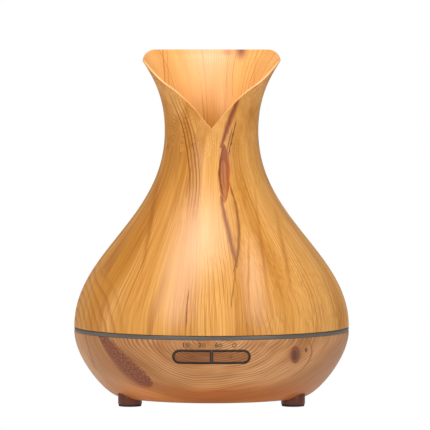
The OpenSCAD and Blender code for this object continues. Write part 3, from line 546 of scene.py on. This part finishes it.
bowlMarks = {
    "knotRing": {"at": (50.5, 34.0), "half": (7.5, 9.0), "colour": (150, 92, 54), "strength": 0.75,
                 "soft": 1.0},
    "knot": {"at": (50.0, 34.0), "half": (4.4, 5.4), "colour": (116, 58, 32), "strength": 0.9, "soft": 0.6},
    "knotHeart": {"at": (49.6, 33.6), "half": (2.6, 3.2), "colour": (84, 38, 22), "strength": 0.85,
                  "soft": 0.9},
    "satellite": {"at": (56.5, 36.5), "half": (1.3, 1.5), "colour": (104, 52, 28), "strength": 0.9,
                  "soft": 0.7},
    "outerLoop": {"at": (59.0, 31.0), "half": (0.9, 12), "lean": 0.45, "bow": -0.05, "colour": (140, 78, 40),
                  "strength": 0.75, "soft": 0.8},
    "leftLine": {"at": (-73.5, 34), "half": (0.8, 12), "lean": -0.3, "colour": (128, 72, 36),
                 "strength": 0.7, "soft": 0.9},
    "streakTail": {"at": (-39.0, 15.5), "half": (8, 0.9), "colour": (128, 66, 28), "strength": 0.6,
                   "soft": 1.0},
    "tongue": {"at": (0.0, 11.5), "half": (22, 2.2), "colour": (176, 92, 34), "strength": 0.45, "soft": 1.0},
    "tongueHeart": {"at": (6.0, 12.5), "half": (12, 0.9), "colour": (150, 72, 26), "strength": 0.6,
                    "soft": 1.0},
}
longStreak = {"atX": -52.0, "atZ": 28.0, "lean": -0.92, "bow": 0.014, "halfWidth": 9.4, "halfLength": 17.0,
              "soft": 0.55, "dark": (88, 36, 18), "light": (140, 72, 36), "strength": 0.92}
arcSet = {"centreX": 2.0, "centreZ": 47.0, "halfWide": 60.0, "halfHigh": 33.0, "lines": 24.0}


def makeBowlWood(name, shade):
    material, tree, shader = startMaterial(name, Specular_IOR_Level=0.42)
    at = useGroup(tree, placeGroup)
    low = calc(tree, "DIVIDE", calc(tree, "SUBTRACT", at["Z"], arcSet["centreZ"]), arcSet["halfHigh"])
    wide = calc(tree, "DIVIDE", calc(tree, "SUBTRACT", at["X"], arcSet["centreX"]), arcSet["halfWide"])
    bend = noise(tree, scaled(tree, at["X"], at["Y"], at["Z"], 0.02, 0.012, 0.03), 1.0, 1.5)
    bend = calc(tree, "MULTIPLY", calc(tree, "SUBTRACT", bend, 0.5), 0.34)
    arc = calc(tree, "ADD", length(tree, low, wide), bend)
    side = calc(tree, "ARCTAN2", low, wide)

    def stretched(acrossBy, alongBy):
        return scaled(tree, arc, calc(tree, "SINE", side), calc(tree, "COSINE", side), acrossBy, alongBy,
                      alongBy)

    colour, fibres = woodLayers(tree, bowlTones, stretched(3.0, 0.9), stretched(13.0, 0.8),
                                stretched(90.0, 2.0))
    come = spread(tree, noise(tree, stretched(5.0, 1.2), 1.0, 1.0), 0.3, 0.55)
    come = calc(tree, "MULTIPLY", come, spread(tree, arc, 1.1, 0.75, 0.3, 1.0))
    colour = addLines(tree, colour, calc(tree, "MULTIPLY", arc, arcSet["lines"]), 0.42, come,
                      bowlTones["line"], 0.75)
    # the long reddish streak on the left of the front, with dark specks in it
    speck = noise(tree, combine(tree, at["X"], 0.0, at["Z"]), 0.9, 3.0, 0.7)
    ragged = calc(tree, "MULTIPLY_ADD", calc(tree, "SUBTRACT", speck, 0.5), 6.0, at["Z"])
    streak = useGroup(tree, streakGroup, Across=ragged, Along=at["X"], CentreAcross=longStreak["atZ"],
                      CentreAlong=longStreak["atX"], Lean=longStreak["lean"], Bow=longStreak["bow"],
                      HalfWidth=longStreak["halfWidth"], HalfLength=longStreak["halfLength"],
                      Softness=longStreak["soft"])["Mask"]
    streak = calc(tree, "MULTIPLY", streak, at["Front"])
    streakTone = blendColour(tree, spread(tree, speck, 0.42, 0.6), rgb(*longStreak["dark"]),
                             rgb(*longStreak["light"]))
    colour = blendColour(tree, calc(tree, "MULTIPLY", streak, longStreak["strength"]), colour, streakTone)
    colour = addMarks(tree, colour, bowlMarks, at["X"], at["Z"], at["Front"])
    lowTone = blendColour(tree, 1.0, colour, rgb(255, 208, 128), "MULTIPLY")
    colour = blendColour(tree, spread(tree, at["Z"], 22.0, 6.0), colour, lowTone)
    colour = blendColour(tree, 1.0, colour, rgb(*shade), "MULTIPLY")
    finishWood(tree, shader, colour, fibres, 0.34)
    return material


vaseWood = makeVaseWood()
bowlWood = makeBowlWood("bowlWoodPrint", (255, 255, 255))
footWood = makeBowlWood("footWoodPrint", (128, 92, 54))
capWood = makeBowlWood("capWoodPrint", (192, 170, 142))
rimWood = makeFinish("rimWoodPrint", {"colour": (232, 166, 98), "roughness": 0.42})
printInk = makeFinish("printInk", {"colour": (58, 34, 22), "roughness": 0.55})
print("materials are built")


def bezier(a, b, c, d, count):
    points = []
    for i in range(count + 1):
        t = i / count
        weights = ((1 - t) ** 3, 3 * t * (1 - t) ** 2, 3 * t * t * (1 - t), t ** 3)
        points.append(tuple(sum(w * p[k] for w, p in zip(weights, (a, b, c, d))) for k in (0, 1)))
    return points


# the pulls are how far an outline's control points stand off its ends
vaseShape = {"bottomZ": seamZ + 0.3, "neckRadius": 28.6, "neckZ": 166.0, "lipRadius": 45.5, "lipSlope": 25.0,
             "bellyPull": 45.4, "underNeckPull": 54, "overNeckPull": 27, "lipPull": 12,
             "notchDepth": 47.5, "notchPull": (9, 11), "fold": (26.0, 21.8), "foldPullIn": (8.5, 5),
             "foldPullOut": (6, 3.6), "cornerPull": (5.2, 6.4), "corner": 6.0,
             "wall": 2.4, "rows": 88, "columns": 288, "rimRound": 0.6, "rimThin": 0.6, "rimThinLength": 9.0,
             "ridgeHeight": 0.55, "ridgeLength": 9.0, "ridgeWidth": 1.6, "rollLength": 2.2, "rollHeight": 0.35}
bowlShape = {"undersideRadius": 57.0, "undersideZ": 4.2, "wall": 2.4, "openingRadius": 49.5, "columns": 256,
             "lowPull": 7, "sidePull": 16.9, "ledge": 1.6, "ledgeOut": 2.0, "ledgeIn": 3.0, "coverDepth": 2.2,
             "jackHole": 4.2}


def vaseOutline(s):
    lean = math.radians(s["lipSlope"])
    lipEnd = (s["lipRadius"], topZ)
    lipPull = (lipEnd[0] - s["lipPull"] * math.sin(lean), lipEnd[1] - s["lipPull"] * math.cos(lean))
    neck = (s["neckRadius"], s["neckZ"])
    low = bezier((bodyRadius, s["bottomZ"]), (bodyRadius, s["bottomZ"] + s["bellyPull"]),
                 (neck[0], neck[1] - s["underNeckPull"]), neck, 120)
    high = bezier(neck, (neck[0], neck[1] + s["overNeckPull"]), lipPull, lipEnd, 60)
    return low + high[1:]


def bowlOutline(s):
    return bezier((s["undersideRadius"], s["undersideZ"]),
                  (s["undersideRadius"] + s["lowPull"], s["undersideZ"]),
                  (bodyRadius, housingTopZ - s["sidePull"]), (bodyRadius, housingTopZ), 60)


def valueAt(pairs, x):
    keys = [p[0] for p in pairs]
    i = min(max(bisect.bisect_left(keys, x), 1), len(keys) - 1)
    (x0, y0), (x1, y1) = pairs[i - 1], pairs[i]
    return y0 if x1 == x0 else y0 + (y1 - y0) * (x - x0) / (x1 - x0)


vaseByHeight = [(z, r) for r, z in vaseOutline(vaseShape)]
bowlByHeight = [(z, r) for r, z in bowlOutline(bowlShape)]


def inwardOutline(points, depth):
    moved = []
    for i, p in enumerate(points):
        a, b = points[max(i - 1, 0)], points[min(i + 1, len(points) - 1)]
        dx, dz = b[0] - a[0], b[1] - a[1]
        size = math.hypot(dx, dz)
        moved.append((p[0] - depth * dz / size, p[1] + depth * dx / size))
    return moved


def closeMesh(bm, name, material):
    for face in bm.faces:
        face.smooth = True
    mesh = bpy.data.meshes.new(name)
    bm.to_mesh(mesh)
    bm.free()
    mesh.materials.append(material)
    piece = bpy.data.objects.new(name, mesh)
    bpy.context.scene.collection.objects.link(piece)
    mesh.set_sharp_from_angle(angle=math.radians(35.0))
    return piece


def settle(piece, smoothAngle=35.0):
    # applies the piece's modifiers and marks its sharp edges
    graph = bpy.context.evaluated_depsgraph_get()
    mesh = bpy.data.meshes.new_from_object(piece.evaluated_get(graph))
    piece.modifiers.clear()
    piece.data = mesh
    for face in mesh.polygons:
        face.use_smooth = True
    mesh.set_sharp_from_angle(angle=math.radians(smoothAngle))
    return piece


def bevelEdges(piece, width, segments=3, angle=40.0):
    bevel = piece.modifiers.new("edges", "BEVEL")
    bevel.width = width * mm
    bevel.segments = segments
    bevel.limit_method = "ANGLE"
    bevel.angle_limit = math.radians(angle)
    bevel.use_clamp_overlap = True


def spinOutline(bm, points, columns, closed):
    # turns (radius, height) points round Z, starting at the front
    verts = [bm.verts.new((0, -r * mm, z * mm)) for r, z in points]
    pairs = list(zip(verts, verts[1:])) + ([(verts[-1], verts[0])] if closed else [])
    edges = [bm.edges.new(p) for p in pairs]
    bmesh.ops.spin(bm, geom=verts + edges, cent=(0, 0, 0), axis=(0, 0, 1), angle=math.tau,
                   steps=columns, use_merge=True, use_duplicate=False)
    bmesh.ops.remove_doubles(bm, verts=bm.verts, dist=1e-6)
    bmesh.ops.recalc_face_normals(bm, faces=bm.faces)


def turnedPiece(name, points, columns, material, edge):
    bm = bmesh.new()
    spinOutline(bm, points, columns, True)
    piece = closeMesh(bm, name, material)
    bevelEdges(piece, edge)
    return settle(piece)


def stump(name, places, radius, lowZ, highZ, material, edge):
    bm = bmesh.new()
    for x, y in places:
        made = bmesh.ops.create_cone(bm, cap_ends=True, segments=64, radius1=radius * mm, radius2=radius * mm,
                                     depth=(highZ - lowZ) * mm)
        bmesh.ops.translate(bm, verts=made["verts"], vec=(x * mm, y * mm, (highZ + lowZ) / 2 * mm))
    piece = closeMesh(bm, name, material)
    bevelEdges(piece, edge)
    return settle(piece)


def mouthCurves(s):
    mouthZ = topZ - s["corner"]
    mouthX = valueAt(vaseByHeight, mouthZ)
    notchZ = topZ - s["notchDepth"]
    fold = (s["fold"][0], topZ - s["fold"][1])
    notchPull, cornerPull = s["notchPull"], s["cornerPull"]
    pullIn, pullOut = s["foldPullIn"], s["foldPullOut"]
    front = bezier((0, notchZ), (notchPull[0], notchZ + notchPull[1]),
                   (fold[0] - pullIn[0], fold[1] - pullIn[1]), fold, 40)
    front += bezier(fold, (fold[0] + pullOut[0], fold[1] + pullOut[1]),
                    (mouthX - cornerPull[0], mouthZ - cornerPull[1]), (mouthX, mouthZ), 40)[1:]
    turn = [math.radians(90 - 3 * i) for i in range(31)]
    back = [(0.0, topZ)]
    back += [(mouthX - s["corner"] + s["corner"] * math.cos(a),
              mouthZ + s["corner"] * math.sin(a)) for a in turn]
    return front, back


def rimHeight(curve, turn):
    # height at which the meridian at this turn meets the mouth's edge
    low, high = 150.0, topZ
    for _ in range(40):
        z = (low + high) / 2
        x = abs(valueAt(vaseByHeight, z) * math.sin(turn))
        if z < valueAt(curve, x):
            low = z
        else:
            high = z
    return low


def buildVase(s):
    front, back = mouthCurves(s)
    bm = bmesh.new()
    rows = s["rows"]
    # heights stand for row numbers until the rows are placed
    guide = [(10.0, float(i)) for i in range(rows + 1)]
    spinOutline(bm, guide, s["columns"], False)
    heights = {}
    weights = bm.verts.layers.deform.new()
    for vert in bm.verts:
        turn = math.atan2(vert.co.x, -vert.co.y)
        row = vert.co.z / mm / rows
        key = round(turn, 5)
        if key not in heights:
            heights[key] = rimHeight(front if abs(turn) <= math.pi / 2 + 1e-4 else back, turn)
        rim = heights[key]
        z = s["bottomZ"] + (rim - s["bottomZ"]) * row
        radius = valueAt(vaseByHeight, z)
        # soft ridge under the notch and a slight roll of the lapels along its edge
        x = radius * math.sin(turn)
        below = (topZ - s["notchDepth"]) - z
        if abs(turn) < math.pi / 2:
            ridge = math.exp(-((below - 1.0) / s["ridgeLength"]) ** 2) * math.exp(-(x / s["ridgeWidth"]) ** 2)
            roll = math.exp(-((rim - z) / s["rollLength"]) ** 2) * 0.5
            radius += s["ridgeHeight"] * ridge + roll * s["rollHeight"]
        vert.co = Vector((radius * math.sin(turn), -radius * math.cos(turn), z)) * mm
        share = min((rim - z) / s["rimThinLength"], 1.0)
        vert[weights][0] = s["rimThin"] + (1 - s["rimThin"]) * share * share * (3 - 2 * share)
    bmesh.ops.recalc_face_normals(bm, faces=bm.faces)
    sample = max(bm.faces, key=lambda f: f.calc_center_median().x)
    if sample.normal.x < 0:
        bmesh.ops.reverse_faces(bm, faces=bm.faces)
    piece = closeMesh(bm, "vaseCover", vaseWood)
    wall = piece.modifiers.new("wall", "SOLIDIFY")
    wall.vertex_group = piece.vertex_groups.new(name="wall").name
    wall.thickness = s["wall"] * mm
    wall.offset = -1.0
    wall.use_even_offset = True
    piece.data.materials.append(rimWood)
    wall.material_offset_rim = 1
    bevelEdges(piece, s["rimRound"], 4, 50.0)
    settle(piece, 50.0)
    return piece


seatShape = {"band": 4.1, "lipGap": 0.3, "lipWidth": 1.4, "shelf": 2.2, "intoWall": 1.9}


def buildCoverSeat(s):
    # shelf and locating lip inside the foot of the cover
    lipOut = bodyRadius - s["band"] - s["lipGap"]
    lipIn = lipOut - s["lipWidth"]
    lipLow = coverBox[0].z / mm
    shelfOut = bodyRadius - s["intoWall"]
    shelfTop = seamZ + s["shelf"]
    outline = [(lipIn, lipLow), (lipOut, lipLow), (lipOut, seamZ), (shelfOut, seamZ),
               (shelfOut, shelfTop), (lipIn, shelfTop)]
    return turnedPiece("coverSeat", outline, 192, vaseWood, 0.2)


vaseCover = buildVase(vaseShape)
coverSeat = buildCoverSeat(seatShape)
for piece in (vaseCover, coverSeat):
    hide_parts("vase_cover")
    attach(piece, "cover")
print("vase cover is built,", len(vaseCover.data.polygons), "faces")

panelSet = {"width": 46.7, "height": 8.9, "z": 34.0, "frame": 1.4, "web": 2.0, "proud": 0.12}


def outlineCutter(name, points, nearY, farY):
    # a prism along Y from an outline of (x, z) points in millimetres
    bm = bmesh.new()
    face = bm.faces.new([bm.verts.new((x * mm, nearY * mm, z * mm)) for x, z in points])
    made = bmesh.ops.extrude_face_region(bm, geom=[face])
    moved = [g for g in made["geom"] if isinstance(g, bmesh.types.BMVert)]
    bmesh.ops.translate(bm, verts=moved, vec=(0, (farY - nearY) * mm, 0))
    bmesh.ops.recalc_face_normals(bm, faces=bm.faces)
    return closeMesh(bm, name, bowlWood)


def stadiumPoints(width, height, z, count=24):
    points = []
    for side, start in ((1, -90), (-1, 90)):
        for i in range(count + 1):
            a = math.radians(start + 180 * i / count)
            points.append((side * (width - height) / 2 + height / 2 * math.cos(a),
                           z + height / 2 * math.sin(a)))
    return points


def carve(piece, cutter):
    cutting = piece.modifiers.new("cut", "BOOLEAN")
    cutting.operation = "DIFFERENCE"
    cutting.solver = "EXACT"
    cutting.object = cutter
    settle(piece)
    bpy.data.objects.remove(cutter)


def buildBowl(s):
    outer = bowlOutline(s)
    inner = inwardOutline(outer, s["wall"])
    lowIn, lowZ = s["openingRadius"], s["undersideZ"]
    ledgeOut, ledgeIn = lowIn + s["ledgeOut"], lowIn - s["ledgeIn"]
    ledgeTop, ledgeLow = lowZ + s["wall"] + s["ledge"], lowZ + s["coverDepth"]
    outline = [(lowIn, lowZ)] + outer + inner[::-1]
    outline += [(ledgeOut, lowZ + s["wall"]), (ledgeOut, ledgeTop), (ledgeIn, ledgeTop), (ledgeIn, ledgeLow),
                (lowIn, ledgeLow)]
    piece = turnedPiece("lowerHousing", outline, s["columns"], bowlWood, 0.25)
    hole = stadiumPoints(panelSet["width"], panelSet["height"], panelSet["z"])
    carve(piece, outlineCutter("panelHole", hole, -60, -90))
    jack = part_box("dc_jack")
    jackZ = (jack[0].z + jack[1].z) / 2 / mm
    turn = [math.radians(7.5 * i) for i in range(48)]
    ring = [(s["jackHole"] * math.cos(a), jackZ + s["jackHole"] * math.sin(a)) for a in turn]
    carve(piece, outlineCutter("jackHole", ring, 58, 90))
    return piece


footSet = {"circle": 57.0, "angles": (90, 210, 330), "legRadius": 7.25, "legTopZ": 8.0, "padRadius": 6.9}


def footPlaces(s):
    turn = [math.radians(a) for a in s["angles"]]
    return [(s["circle"] * math.cos(a), s["circle"] * math.sin(a)) for a in turn]


lowerHousing = buildBowl(bowlShape)
padTopZ = padBox[1].z / mm
footLegs = stump("footLegs", footPlaces(footSet), footSet["legRadius"], padTopZ, footSet["legTopZ"],
                 footWood, 0.35)
for piece in (lowerHousing, footLegs):
    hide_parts("lower_housing")
    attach(piece, "base")
footPads = stump("footPads", footPlaces(footSet), footSet["padRadius"], 0.0, padTopZ,
                 finishes["black_rubber"], 0.3)
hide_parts("foot_pads")
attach(footPads, "base")
print("lower housing is built,", len(lowerHousing.data.polygons), "faces")

ringSet = {"inner": 79.9, "setBack": 0.1, "lipIn": 76.5, "lipOut": 81.4, "lowZ": 40.0, "lipThick": 1.6}


def ringOutlines(s):
    # the band seen at the seam, and the ledge that holds it inside the bowl
    outer, lipTop = bodyRadius - s["setBack"], s["lowZ"] + s["lipThick"]
    band = [(s["inner"], housingTopZ), (outer, housingTopZ), (outer, seamZ), (s["inner"], seamZ)]
    ledge = [(s["lipIn"], s["lowZ"]), (s["lipOut"], s["lowZ"]), (s["lipOut"], housingTopZ),
             (s["inner"], housingTopZ), (s["inner"], lipTop), (s["lipIn"], lipTop)]
    return band, ledge


ringOutline, ringLedge = ringOutlines(ringSet)
lightRing = turnedPiece("lightRing", ringOutline, 256, finishes["smoked_plastic"], 0.35)
ringSeat = turnedPiece("lightRingSeat", ringLedge, 192, finishes["smoked_plastic"], 0.15)
for piece in (lightRing, ringSeat):
    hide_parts("light_ring")
    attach(piece, "base")
print("light ring is built")


def onBowl(x, z, proud):
    # point on the bowl's front at this x and z, a little proud of it
    radius = valueAt(bowlByHeight, z) + proud
    return Vector((x, -math.sqrt(max(radius * radius - x * x, 1.0)), z)) * mm


def buildCap(name, side, s):
    half = (s["height"] - 2 * s["frame"]) / 2
    endX = (s["width"] - 2 * s["frame"]) / 2 - half
    bm = bmesh.new()
    bmesh.ops.create_grid(bm, x_segments=44, y_segments=14, size=1.0)
    for vert in bm.verts:
        across, up = vert.co.x, vert.co.y
        far = endX + half * math.sqrt(max(1 - up * up, 0.0))
        x = s["web"] / 2 + (far - s["web"] / 2) * (across + 1) / 2
        vert.co = onBowl(side * x, s["z"] + up * half, s["proud"])
    rim = [e for e in bm.edges if e.is_boundary]
    made = bmesh.ops.extrude_edge_only(bm, edges=rim)
    skirt = [g for g in made["geom"] if isinstance(g, bmesh.types.BMVert)]
    bmesh.ops.translate(bm, verts=skirt, vec=(0, 3.2 * mm, 0))
    bmesh.ops.holes_fill(bm, edges=[e for e in bm.edges if e.is_boundary], sides=0)
    bmesh.ops.remove_doubles(bm, verts=bm.verts, dist=1e-6)
    bmesh.ops.recalc_face_normals(bm, faces=bm.faces)
    piece = closeMesh(bm, name, capWood)
    bevelEdges(piece, 0.45, 3, 50.0)
    return settle(piece, 40.0)


def flatPiece(name, bm, place, proud):
    # lays a flat drawing (x right, y up, in millimetres) on the bowl's front
    made = bmesh.ops.extrude_face_region(bm, geom=list(bm.faces))
    upper = {g for g in made["geom"] if isinstance(g, bmesh.types.BMVert)}
    for vert in bm.verts:
        lift = proud if vert in upper else proud - markThick
        vert.co = onBowl(place[0] + vert.co.x, place[1] + vert.co.y, lift)
    bmesh.ops.recalc_face_normals(bm, faces=bm.faces)
    return closeMesh(bm, name, printInk)


def drawRing(bm, centre, outer, inner, startAngle=0, endAngle=360, steps=32):
    last = None
    for i in range(steps + 1):
        a = math.radians(startAngle + (endAngle - startAngle) * i / steps)
        pair = [bm.verts.new((centre[0] + r * math.cos(a), centre[1] + r * math.sin(a), 0))
                for r in (inner, outer)]
        if last:
            bm.faces.new((last[0], last[1], pair[1], pair[0]))
        last = pair
    bmesh.ops.remove_doubles(bm, verts=bm.verts, dist=1e-5)


def drawBar(bm, centre, length, width, angle=90.0):
    made = bmesh.ops.create_grid(bm, x_segments=1, y_segments=1, size=0.5)
    a = math.radians(angle)
    for vert in made["verts"]:
        u, v = vert.co.x * length, vert.co.y * width
        vert.co = Vector((centre[0] + u * math.cos(a) - v * math.sin(a),
                          centre[1] + u * math.sin(a) + v * math.cos(a), 0))


def numeralMesh(digit, height):
    text = bpy.data.curves.new("numeral", "FONT")
    text.body = digit
    text.size = height * 1.42
    text.offset = 0.08
    text.align_x = "CENTER"
    text.align_y = "CENTER"
    holder = bpy.data.objects.new("numeral", text)
    bpy.context.scene.collection.objects.link(holder)
    bpy.context.view_layer.update()
    mesh = bpy.data.meshes.new_from_object(holder.evaluated_get(bpy.context.evaluated_depsgraph_get()))
    bpy.data.objects.remove(holder)
    bm = bmesh.new()
    bm.from_mesh(mesh)
    bmesh.ops.remove_doubles(bm, verts=bm.verts, dist=1e-4)
    return bm


labelSet = {"z": 41.0, "height": 2.7, "hours": (("1", -16.5), ("3", -7.0), ("6", 3.0)), "powerX": 13.5,
            "proud": 0.05}
markThick = 0.12   # how deep a printed mark goes into the wood


def buildLabels(s):
    made = []
    for digit, x in s["hours"]:
        bm = numeralMesh(digit, s["height"])
        drawRing(bm, (2.35, 0.0), 1.2, 0.85)
        drawBar(bm, (2.35, 0.3), 0.6, 0.24)
        drawBar(bm, (2.55, 0.0), 0.5, 0.24, 0.0)
        made.append(flatPiece("hourMark" + digit, bm, (x, s["z"]), s["proud"]))
    bm = bmesh.new()
    drawRing(bm, (0, 0), 1.35, 0.97, 125, 415)
    drawBar(bm, (0, 0.95), 1.25, 0.36)
    made.append(flatPiece("powerMark", bm, (s["powerX"], s["z"]), s["proud"]))
    return made


def buildLightMark(x, s):
    bm = bmesh.new()
    drawRing(bm, (0, 0), 0.72, 0.5)
    for i in range(8):
        a = math.radians(45 * i)
        drawBar(bm, (1.15 * math.cos(a), 1.15 * math.sin(a)), 0.42, 0.18, 45 * i)
    return flatPiece("lightMark", bm, (x, s["z"]), s["proud"] + 0.04)


def buildMistMark(x, s):
    bm = bmesh.new()
    for k in (-1, 0, 1):   # three wisps, each of two bows
        for side, start in ((-1, -52), (1, 128)):
            drawRing(bm, (k * 0.95 + side * 0.28, -0.42 * side), 0.52, 0.36, start, start + 104, 10)
    return flatPiece("mistMark", bm, (x, s["z"]), s["proud"] + 0.04)


lightCap = buildCap("lightButtonCap", 1, panelSet)
mistCap = buildCap("mistButtonCap", -1, panelSet)
capX = (panelSet["width"] - 2 * panelSet["frame"] + panelSet["web"]) / 4
lightMark = buildLightMark(capX, panelSet)
mistMark = buildMistMark(-capX, panelSet)
for piece, mark, body in ((lightCap, lightMark, "light_button"), (mistCap, mistMark, "mist_button")):
    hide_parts(body)
    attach(piece, body)
    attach(mark, body)
for piece in buildLabels(labelSet):
    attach(piece, "base")
print("buttons and labels are built")

slotOf = {part["node"]: part["material_slot"] for part in frame["record"]["subparts"]}
woodSlots = {"wood_print": bowlWood, "dark_wood_print": footWood}
for name, obj in frame["nodes"].items():
    material = woodSlots.get(slotOf[name]) or finishes[slotOf[name]]
    obj.data.materials.clear()
    obj.data.materials.append(material)
print("materials are on the inner pieces")

floorSet = {"size": 6.0, "drop": 0.05, "colour": (240, 236, 230)}


def addFloor(s):
    bm = bmesh.new()
    bmesh.ops.create_grid(bm, x_segments=1, y_segments=1, size=s["size"])
    bmesh.ops.translate(bm, verts=bm.verts, vec=(0, 0, -s["drop"]))
    material, _, shader = startMaterial("paleFloor", 0.7)
    shader.inputs["Base Color"].default_value = rgb(*s["colour"])
    floor = closeMesh(bm, "floor", material)
    floor.visible_camera = False   # it only sends light back up, so the ground is seen plain white


addFloor(floorSet)
